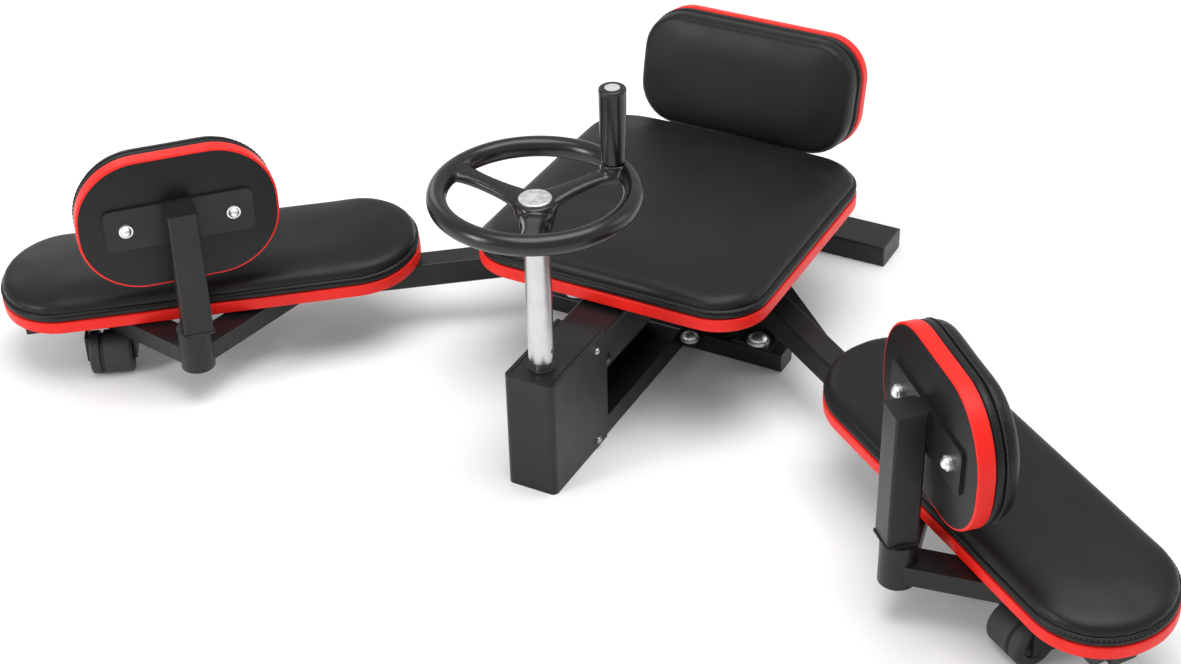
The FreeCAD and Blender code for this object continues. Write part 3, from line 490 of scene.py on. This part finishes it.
def swell(piece, floor, cap):
    """Blow the cushion up as cloth with its underside held; the rise is capped and evened out."""
    mesh = piece.data
    rest = np.array([v.co for v in mesh.vertices])
    held = piece.vertex_groups.new(name="held")
    held.add([int(i) for i in np.nonzero(rest[:, 2] < floor)[0]], 1.0, "REPLACE")
    cloth = piece.modifiers.new("cloth", "CLOTH")
    cloth.settings.quality = 4
    cloth.settings.mass = 0.3
    cloth.settings.tension_stiffness = SWELL_STIFFNESS
    cloth.settings.compression_stiffness = SWELL_STIFFNESS
    cloth.settings.bending_stiffness = 4
    cloth.settings.use_pressure = True
    cloth.settings.uniform_pressure_force = SWELL_PRESSURE
    cloth.settings.vertex_group_mass = held.name
    cloth.settings.effector_weights.gravity = 0
    cloth.collision_settings.use_collision = False
    cloth.collision_settings.use_self_collision = False
    cloth.point_cache.frame_end = SWELL_FRAMES
    scene = bpy.context.scene
    for moment in range(1, SWELL_FRAMES + 1):
        scene.frame_set(moment)
    graph = bpy.context.evaluated_depsgraph_get()
    swollen = piece.evaluated_get(graph).to_mesh()
    shift = np.array([v.co for v in swollen.vertices]) - rest
    piece.evaluated_get(graph).to_mesh_clear()
    piece.modifiers.clear()
    reach = np.linalg.norm(shift, axis=1, keepdims=True)
    shift *= np.minimum(1, cap / np.maximum(reach, 1e-9))
    ends = np.array([edge.vertices[:] for edge in mesh.edges])
    links = np.bincount(ends.ravel(), minlength=len(rest))[:, None]
    for _ in range(SWELL_SMOOTHING):
        total = np.zeros_like(shift)
        np.add.at(total, ends[:, 0], shift[ends[:, 1]])
        np.add.at(total, ends[:, 1], shift[ends[:, 0]])
        shift = 0.5 * shift + 0.5 * total / links
    mesh.vertices.foreach_set("co", (rest + shift).ravel())
    piece.vertex_groups.clear()
    scene.frame_set(1)


STITCH_PITCH = 4.5 * MM
STITCH_REACH = 0.32  # of the pitch, to each side of a stitch's middle
THREAD_RADIUS = 0.42 * MM


def stitches(size, level, inset):
    """Row of short thread stitches round the side."""
    outline = ring(*size, inset, level, steps=30)
    lengths = [(b - a).length for a, b in zip(outline, outline[1:] + outline[:1])]
    total = sum(lengths)
    count = int(total / STITCH_PITCH)
    forms = []
    index, walked = 0, 0.0
    for number in range(count):
        target = total * number / count
        while walked + lengths[index] < target:
            walked += lengths[index]
            index += 1
        start, end = outline[index], outline[(index + 1) % len(outline)]
        spot = start.lerp(end, (target - walked) / max(lengths[index], 1e-9))
        ahead = (end - start).normalized() * (STITCH_PITCH * STITCH_REACH)
        forms.append(tube_along([spot - ahead, spot - ahead * 0.5, spot + ahead * 0.5, spot + ahead],
                                THREAD_RADIUS, sides=6))
    return join(*forms)


def finish_cushion(piece):
    """One subdivision and a light relax, so the grain sits on an even skin."""
    relax = piece.modifiers.new("relax", "SMOOTH")
    relax.factor = 0.5
    relax.iterations = 3
    fine = piece.modifiers.new("fine", "SUBSURF")
    fine.levels = 1
    bake_modifiers(piece)
    piece.data.shade_smooth()


PADS = (
    # name, board node, cushion node, share of the cushion's height below the seam, width of the
    # crown's slope, most that a point may swell, voxel
    ("seat", "seat_board", "seat_cushion", 0.42, 15 * MM, 4.5 * MM, 5 * MM),
    ("backrest", "backrest_board", "backrest_cushion", 0.34, 4 * MM, 3.5 * MM, 4 * MM),
    ("leg", "leg_board", "leg_cushion", 0.43, 14 * MM, 4.0 * MM, 4 * MM),
    ("side_pad", "side_pad_board", "side_pad_cushion", 0.42, 13 * MM, 4.5 * MM, 4 * MM),
)
PAIRED_PADS = ("leg", "side_pad")
BACKREST_SAG = 3.5 * MM


def puffed_cushion(name, size, seam, top, slope, cap, voxel):
    """Swollen cushion in its pad's own frame."""
    cushion = make_object(name + "_master", *cushion_start(size, seam, top - 1.2 * MM, slope), "black_vinyl")
    remesh(cushion, voxel, 4)
    swell(cushion, seam + 3.0 * MM, cap)
    if name == "backrest":
        droop(cushion, BACKREST_SAG)
    finish_cushion(cushion)
    return cushion


def build_pads():
    """Band, back cover, side wall, stitching and cushion of each pad; the legs' pads are mirrored."""
    for name, board_node, cushion_node, share, slope, cap, voxel in PADS:
        paired = name in PAIRED_PADS
        prefix = "right_" if paired else ""
        matrix, size, board, thickness = pad_space(prefix + board_node, prefix + cushion_node)
        seam = board + share * thickness
        puffed = puffed_cushion(name, size, seam, board + thickness, slope, cap, voxel)
        forms = {
            "band": (band(size, board), "red_vinyl"),
            "backing": (backing(size), "black_vinyl"),
            "side_wall": (side_wall(size, board, seam), "black_vinyl"),
            "stitching": (stitches(size, seam - 1.4 * MM, 0.75 * MM), "thread"),
        }
        for side_name, sign in SIDES.items() if paired else (("", 1),):
            lead = side_name + "_" if paired else ""
            body = side_name + "_leg" if paired else "frame"
            for label, (form, slot) in forms.items():
                piece = make_object(f"{lead}{name}_{label}", *form, slot)
                place(sharpen(piece, 50), matrix, sign < 0)
                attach(piece, body)
                if label == "band":
                    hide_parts(lead + board_node)
            cushion = bpy.data.objects.new(f"{lead}{name}_cushion_cover", puffed.data.copy())
            bpy.context.scene.collection.objects.link(cushion)
            paint(cushion, "black_vinyl")
            place(cushion, matrix, sign < 0)
            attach(cushion, body)
            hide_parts(lead + cushion_node)
        bpy.data.objects.remove(puffed)


# ---------------------------------------------------------------- hand wheel
RIM_TUBE = 10.1 * MM
RIM_INNER_SIDE = 0.88  # of the tube's radius
RIM_ROUND_STEPS = 128
RIM_SECTION_STEPS = 28
RIM_ABOVE_HUB = 5.8 * MM
HUB_RADIUS = 20.5 * MM
SLEEVE_RADIUS = 15.5 * MM
BURIED = 12 * MM  # from the axis to where the spokes and webs start, inside the hub
SPOKE_COUNT = 3
FIRST_SPOKE = 56.0  # degrees
GRIP_SPOKE = 0
FRONT_SPOKE = 2
FRONT_SPOKE_DROP = 8 * MM
SPOKE_BELOW_HUB = 6 * MM
SPOKE_HALF_WIDTH = 8.6 * MM
SPOKE_HALF_HEIGHT = 5.5 * MM
HUB_FLARE = 7.0 * MM
RIM_FLARE = 10 * MM
GRIP_FLARE = 15 * MM
WEB_HALF_THICKNESS = 1.6 * MM
NEARLY_AXIS = 0.1 * MM
WHEEL_VOXEL = 1.3 * MM


def wheel_rim(radius):
    """Rim with a slightly flattened inner side."""
    rings = []
    for step in range(RIM_SECTION_STEPS):
        angle = 2 * math.pi * step / RIM_SECTION_STEPS
        side = RIM_INNER_SIDE if math.cos(angle) < 0 else 1.0
        reach = radius + RIM_TUBE * side * math.cos(angle)
        rings.append(circle(reach, RIM_TUBE * math.sin(angle), RIM_ROUND_STEPS))
    return skin(rings, closed=True)


def spoke(radius, flare):
    """Spoke with softly rounded sides, flared into the hub and into the rim."""
    stations, sides = 16, 24
    rings = []
    for step in range(stations + 1):
        t = step / stations
        half_width = SPOKE_HALF_WIDTH + HUB_FLARE * (1 - t) ** 4 + flare * t ** 7
        section = []
        for side in range(sides):
            angle = 2 * math.pi * side / sides
            across, upwards = math.cos(angle), math.sin(angle)
            section.append(Vector((BURIED + (radius - BURIED) * t,
                                   half_width * math.copysign(abs(across) ** 0.7, across),
                                   SPOKE_HALF_HEIGHT * math.copysign(abs(upwards) ** 0.8, upwards))))
        rings.append(section)
    return skin(rings)


def web_plate(drop):
    """Upright web under a spoke, from the sleeve outwards; its foot is nearer in than its top."""
    top = -4 * MM
    corners = ((BURIED, top), (24 * MM, top), (18 * MM, drop), (BURIED, drop))
    vertices = [Vector((x, y, z)) for y in (-WEB_HALF_THICKNESS, WEB_HALF_THICKNESS) for x, z in corners]
    faces = [(0, 1, 2, 3), (7, 6, 5, 4), (0, 4, 5, 1), (1, 5, 6, 2), (2, 6, 7, 3), (3, 7, 4, 0)]
    return vertices, faces


def build_wheel_moulding():
    """Rim, hub, sleeve, spokes, webs and the grip's boss as one moulding."""
    low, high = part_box("hand_wheel")
    centre = (low + high) / 2
    hub_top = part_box("hub_cap")[0].z
    radius = (high.x - low.x) / 2 - RIM_TUBE
    rim_level = hub_top + RIM_ABOVE_HUB
    forms = [moved(wheel_rim(radius), Matrix.Translation((0, 0, rim_level)))]
    hub = [(NEARLY_AXIS, hub_top - 17 * MM), (HUB_RADIUS - 3 * MM, hub_top - 17 * MM),
           (HUB_RADIUS - 1 * MM, hub_top - 14 * MM), (HUB_RADIUS, hub_top - 3 * MM),
           (HUB_RADIUS - 2 * MM, hub_top), (NEARLY_AXIS, hub_top)]
    forms.append(turned(hub, 48))
    sleeve = [(NEARLY_AXIS, low.z), (SLEEVE_RADIUS - 1 * MM, low.z), (SLEEVE_RADIUS, low.z + 1.5 * MM),
              (SLEEVE_RADIUS, hub_top - 10 * MM), (NEARLY_AXIS, hub_top - 10 * MM)]
    forms.append(turned(sleeve, 48))
    for index in range(SPOKE_COUNT):
        root_level = hub_top - SPOKE_BELOW_HUB
        if index == FRONT_SPOKE:
            root_level -= FRONT_SPOKE_DROP
        turn = Matrix.Rotation(math.radians(FIRST_SPOKE + 360 / SPOKE_COUNT * index), 4, "Z")
        root = turn @ Matrix.Translation((0, 0, root_level))
        dish = Matrix.Rotation(-math.atan2(rim_level - root_level, radius), 4, "Y")
        flare = GRIP_FLARE if index == GRIP_SPOKE else RIM_FLARE
        forms.append(moved(spoke(radius - 2 * MM, flare), root @ dish))
        forms.append(moved(web_plate(low.z - root_level), root))
    grip_low, grip_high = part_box("grip")
    grip_centre = (grip_low + grip_high) / 2 - centre
    boss_top = grip_low.z - 0.6 * MM
    boss = [(NEARLY_AXIS, rim_level - 8 * MM), (14.0 * MM, rim_level - 8 * MM),
            (12.6 * MM, rim_level + 4 * MM), (12.2 * MM, boss_top), (NEARLY_AXIS, boss_top)]
    forms.append(moved(turned(boss, 40), Matrix.Translation((grip_centre.x, grip_centre.y, 0))))
    wheel = make_object("hand_wheel_moulding", *join(*forms), "gloss_black")
    face_outwards(wheel)
    remesh(wheel, WHEEL_VOXEL, 7)
    paint(wheel, "gloss_black")
    place(wheel, Matrix.Translation((centre.x, centre.y, 0)))
    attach(wheel, "hand_wheel_set")
    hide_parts("hand_wheel")


def build_hub_cap():
    """Disc with a softened rim and a slightly crowned face."""
    low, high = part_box("hub_cap")
    centre = (low + high) / 2
    radius = (high.x - low.x) / 2
    cap = [(radius - 0.5 * MM, low.z - 1 * MM), (radius, low.z - 0.5 * MM), (radius, high.z - 0.9 * MM),
           (radius - 0.7 * MM, high.z - 0.3 * MM), (radius * 0.6, high.z), (0.4 * MM, high.z + 0.1 * MM)]
    disc = make_object("hub_cap_disc", *turned(cap, 64), "brushed_cap")
    place(sharpen(disc, 35), Matrix.Translation((centre.x, centre.y, 0)))
    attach(disc, "hand_wheel_set")
    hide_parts("hub_cap")


def build_set_screw():
    """Hollow-ended screw in the side of the hand wheel's sleeve."""
    low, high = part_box("hand_wheel")
    centre = (low + high) / 2
    screw = [(3.0 * MM, 0), (3.4 * MM, 0.6 * MM), (2.6 * MM, 1.3 * MM), (1.5 * MM, 1.3 * MM),
             (1.4 * MM, 0.4 * MM)]
    set_screw = make_object("sleeve_set_screw", *turned(screw, 24), "chrome_nut")
    facing = Matrix.Rotation(math.radians(-62), 4, "Z") @ Matrix.Rotation(math.pi / 2, 4, "Y")
    sleeve_side = facing.to_3x3() @ Vector((0, 0, SLEEVE_RADIUS - 0.3 * MM))
    spot = Vector((centre.x, centre.y, low.z + 12 * MM)) + sleeve_side
    place(sharpen(set_screw, 30), Matrix.Translation(spot) @ facing)
    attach(set_screw, "hand_wheel_set")


def build_grip():
    """Turned grip: slim at the foot, fuller at the head, with softened rims and a recess for the spindle."""
    low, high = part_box("grip")
    centre = (low + high) / 2
    height = high.z - low.z
    foot, head, rounding = 11.4 * MM, 12.9 * MM, 2.2 * MM
    profile = [(4.6 * MM, 0), (foot - 1.5 * MM, 0), (foot - 0.3 * MM, 0.9 * MM)]
    for step in range(1, 12):
        t = step / 12
        profile.append((foot + (head - foot) * t ** 1.15 + 0.5 * MM * math.sin(math.pi * t) - 0.25 * MM,
                        height * t))
    profile += arc((head - rounding, height - rounding), rounding, 10, 90)
    profile += [(8.2 * MM, height), (7.8 * MM, height - 0.6 * MM), (7.6 * MM, height - 2.2 * MM),
                (4.8 * MM, height - 2.3 * MM)]
    grip = make_object("grip_handle", *turned(profile, 56), "gloss_black")
    place(sharpen(grip, 45), Matrix.Translation((centre.x, centre.y, low.z)))
    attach(grip, "grip_sleeve")
    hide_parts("grip")


# ---------------------------------------------------------------- rollers and welds
def build_rollers():
    """Rubber rollers with rounded shoulders, a parting groove and a hub recess at each end."""
    for side_name in SIDES:
        joint = JOINTS[side_name + "_caster_roll"]
        points = node_points(side_name + "_caster_roller")
        axis = Vector(joint["axis"]).normalized()
        along = points @ np.array(axis)
        middle = Vector(joint["pos_m"])
        half = (along.max() - along.min()) / 2
        middle += axis * ((along.max() + along.min()) / 2 - middle.dot(axis))
        radius = middle.z
        soft, groove, recess = 3.5 * MM, 2.6 * MM, 2.5 * MM
        groove_floor = radius - 2.8 * MM
        split = half * 0.42
        profile = [(5 * MM, -half + recess), (12 * MM, -half + recess), (13 * MM, -half)]
        profile += arc((radius - soft, -half + soft), soft, -90, 0)
        profile += [(radius, split - groove), (groove_floor, split - 0.9 * MM),
                    (groove_floor, split + 0.9 * MM), (radius, split + groove)]
        profile += arc((radius - soft, half - soft), soft, 0, 90)
        profile += [(13 * MM, half), (12 * MM, half - recess), (5 * MM, half - recess)]
        roller = make_object(side_name + "_roller_tyre", *turned(profile, 56), "black_rubber")
        turn = axis.to_track_quat("Z", "Y").to_matrix().to_4x4()
        place(sharpen(roller, 35), Matrix.Translation(middle) @ turn)
        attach(roller, side_name + "_caster")
        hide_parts(side_name + "_caster_roller")


WELD_STEP = 2.2 * MM
WELD_RIPPLE = 0.22
TUBE_HALF_WIDTH = 25 * MM


def weld(name, corners, body, closed=False, radius=1.5 * MM):
    """Rippled bead along straight runs between corners."""
    bead = tube_along(spaced(corners, WELD_STEP, closed), radius, closed, WELD_RIPPLE)
    piece = make_object(name, *bead, "black_paint")
    face_outwards(piece)
    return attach(piece, body)


def lowest_outline(node, grow):
    """Corners of a node's foot, in order round it, pushed out a little."""
    points = node_points(node)
    foot = points[points[:, 2] < points[:, 2].min() + 0.5 * MM]
    middle = foot.mean(0)
    unique = {tuple(np.round(p[:2], 4)): p for p in foot}.values()
    ordered = sorted(unique, key=lambda p: math.atan2(p[1] - middle[1], p[0] - middle[0]))
    return [Vector(p) + (Vector(p) - Vector(middle)).normalized() * grow for p in ordered]


def build_welds():
    """Beads round the posts' feet and where the bars meet the beam and the tail tube."""
    around = 0.5 * MM
    for side_name in SIDES:
        weld(side_name + "_post_weld", lowest_outline(side_name + "_pad_post", around),
             side_name + "_leg", closed=True, radius=1.3 * MM)
    beam_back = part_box("main_beam")[1].y
    bar_low, bar_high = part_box("cross_bar")
    foot_low, foot_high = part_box("rear_foot_bar")
    for side in (-1, 1):
        x = side * TUBE_HALF_WIDTH
        for label, y in (("front", bar_low.y), ("rear", bar_high.y)):
            upright = [Vector((x, y, 1 * MM)), Vector((x, y, bar_high.z))]
            weld(f"bar_weld_{label}_{side + 1}", upright, "frame")
    for name, y in (("foot_weld", foot_low.y), ("tail_weld", beam_back)):
        ends = [Vector((x, y, foot_high.z)) for x in (-TUBE_HALF_WIDTH, TUBE_HALF_WIDTH)]
        weld(name, ends, "frame")
    weld("back_post_weld", lowest_outline("backrest_post", around), "frame", closed=True)


# ---------------------------------------------------------------- carried-over CAD nodes
def paint_cad_nodes():
    """Procedural material of its record's slot on every CAD node."""
    for name, item in frame["nodes"].items():
        item.data.materials.clear()
        item.data.materials.append(MATERIALS[SLOT_OF[name]])


# ---------------------------------------------------------------- studio
COLUMN_Y = JOINTS["wheel_turn"]["pos_m"][1]
CAMERA = {"position": (0.85593, COLUMN_Y - 1.48054, 1.3126), "azimuth": 28.447, "pitch": 33.894,
          "roll": -1.389, "lens": 66.25, "sensor_width": 36, "shift_y": 0.0016}


def build_camera():
    """Camera at its place, turned by azimuth, pitch and roll in degrees."""
    azimuth, pitch, roll = (math.radians(CAMERA[key]) for key in ("azimuth", "pitch", "roll"))
    level = math.cos(pitch)
    forward = Vector((-math.sin(azimuth) * level, math.cos(azimuth) * level, -math.sin(pitch)))
    right = Vector((math.cos(azimuth), math.sin(azimuth), 0))
    up = right.cross(forward)
    tilted = right * math.cos(roll) + up * math.sin(roll)
    upright = up * math.cos(roll) - right * math.sin(roll)
    camera = bpy.data.objects.new("camera", bpy.data.cameras.new("camera"))
    bpy.context.scene.collection.objects.link(camera)
    axes = Matrix((tilted, upright, -forward)).transposed().to_4x4()
    camera.matrix_world = Matrix.Translation(CAMERA["position"]) @ axes
    camera.data.sensor_width = CAMERA["sensor_width"]
    camera.data.lens = CAMERA["lens"]
    camera.data.shift_y = CAMERA["shift_y"]
    camera.data.clip_end = 60
    bpy.context.scene.camera = camera


LIGHTS = (
    # name, place, aim, size, watts
    ("overhead", (0.3, -0.2, 2.8), (0, 0, 0.1), (2.6, 1.8), 62),
    ("front_left", (-1.6, -2.6, 1.3), (0, 0, 0.15), (0.7, 1.2), 34),
    ("back_left", (-2.4, 1.3, 1.5), (-0.2, 0, 0.15), (0.9, 1.4), 6),
    ("back_right", (2.4, 1.6, 1.5), (0, 0, 0.15), (0.8, 1.6), 7),
)
FLOOR_HALF = 9.0
SKY_STRENGTH = 0.62


def area_light(name, position, target, size, power):
    """Rectangular light aimed at a point."""
    light = bpy.data.lights.new(name, "AREA")
    light.shape = "RECTANGLE"
    light.size, light.size_y = size
    light.energy = power
    lamp = bpy.data.objects.new(name, light)
    bpy.context.scene.collection.objects.link(lamp)
    aim = (Vector(target) - Vector(position)).to_track_quat("-Z", "Y")
    lamp.matrix_world = Matrix.Translation(position) @ aim.to_matrix().to_4x4()


def build_studio():
    """Pale floor, even white surroundings and the lights."""
    corners = [(x * FLOOR_HALF, y * FLOOR_HALF, 0) for x, y in ((-1, -1), (1, -1), (1, 1), (-1, 1))]
    mesh = bpy.data.meshes.new("studio_floor")
    mesh.from_pydata(corners, [], [(0, 1, 2, 3)])
    mesh.materials.append(new_material("studio_floor", (0.93, 0.93, 0.93), 0.9, Specular_IOR_Level=0.1))
    floor = bpy.data.objects.new("studio_floor", mesh)
    bpy.context.scene.collection.objects.link(floor)
    world = bpy.data.worlds.new("studio")
    world.use_nodes = True
    background = world.node_tree.nodes["Background"]
    background.inputs["Color"].default_value = (1, 1, 1, 1)
    background.inputs["Strength"].default_value = SKY_STRENGTH
    bpy.context.scene.world = world
    for light in LIGHTS:
        area_light(*light)
    bpy.context.scene.view_settings.view_transform = "Standard"


paint_cad_nodes()
build_pads()
build_wheel_moulding()
build_hub_cap()
build_set_screw()
build_grip()
build_rollers()
build_welds()
build_camera()
build_studio()
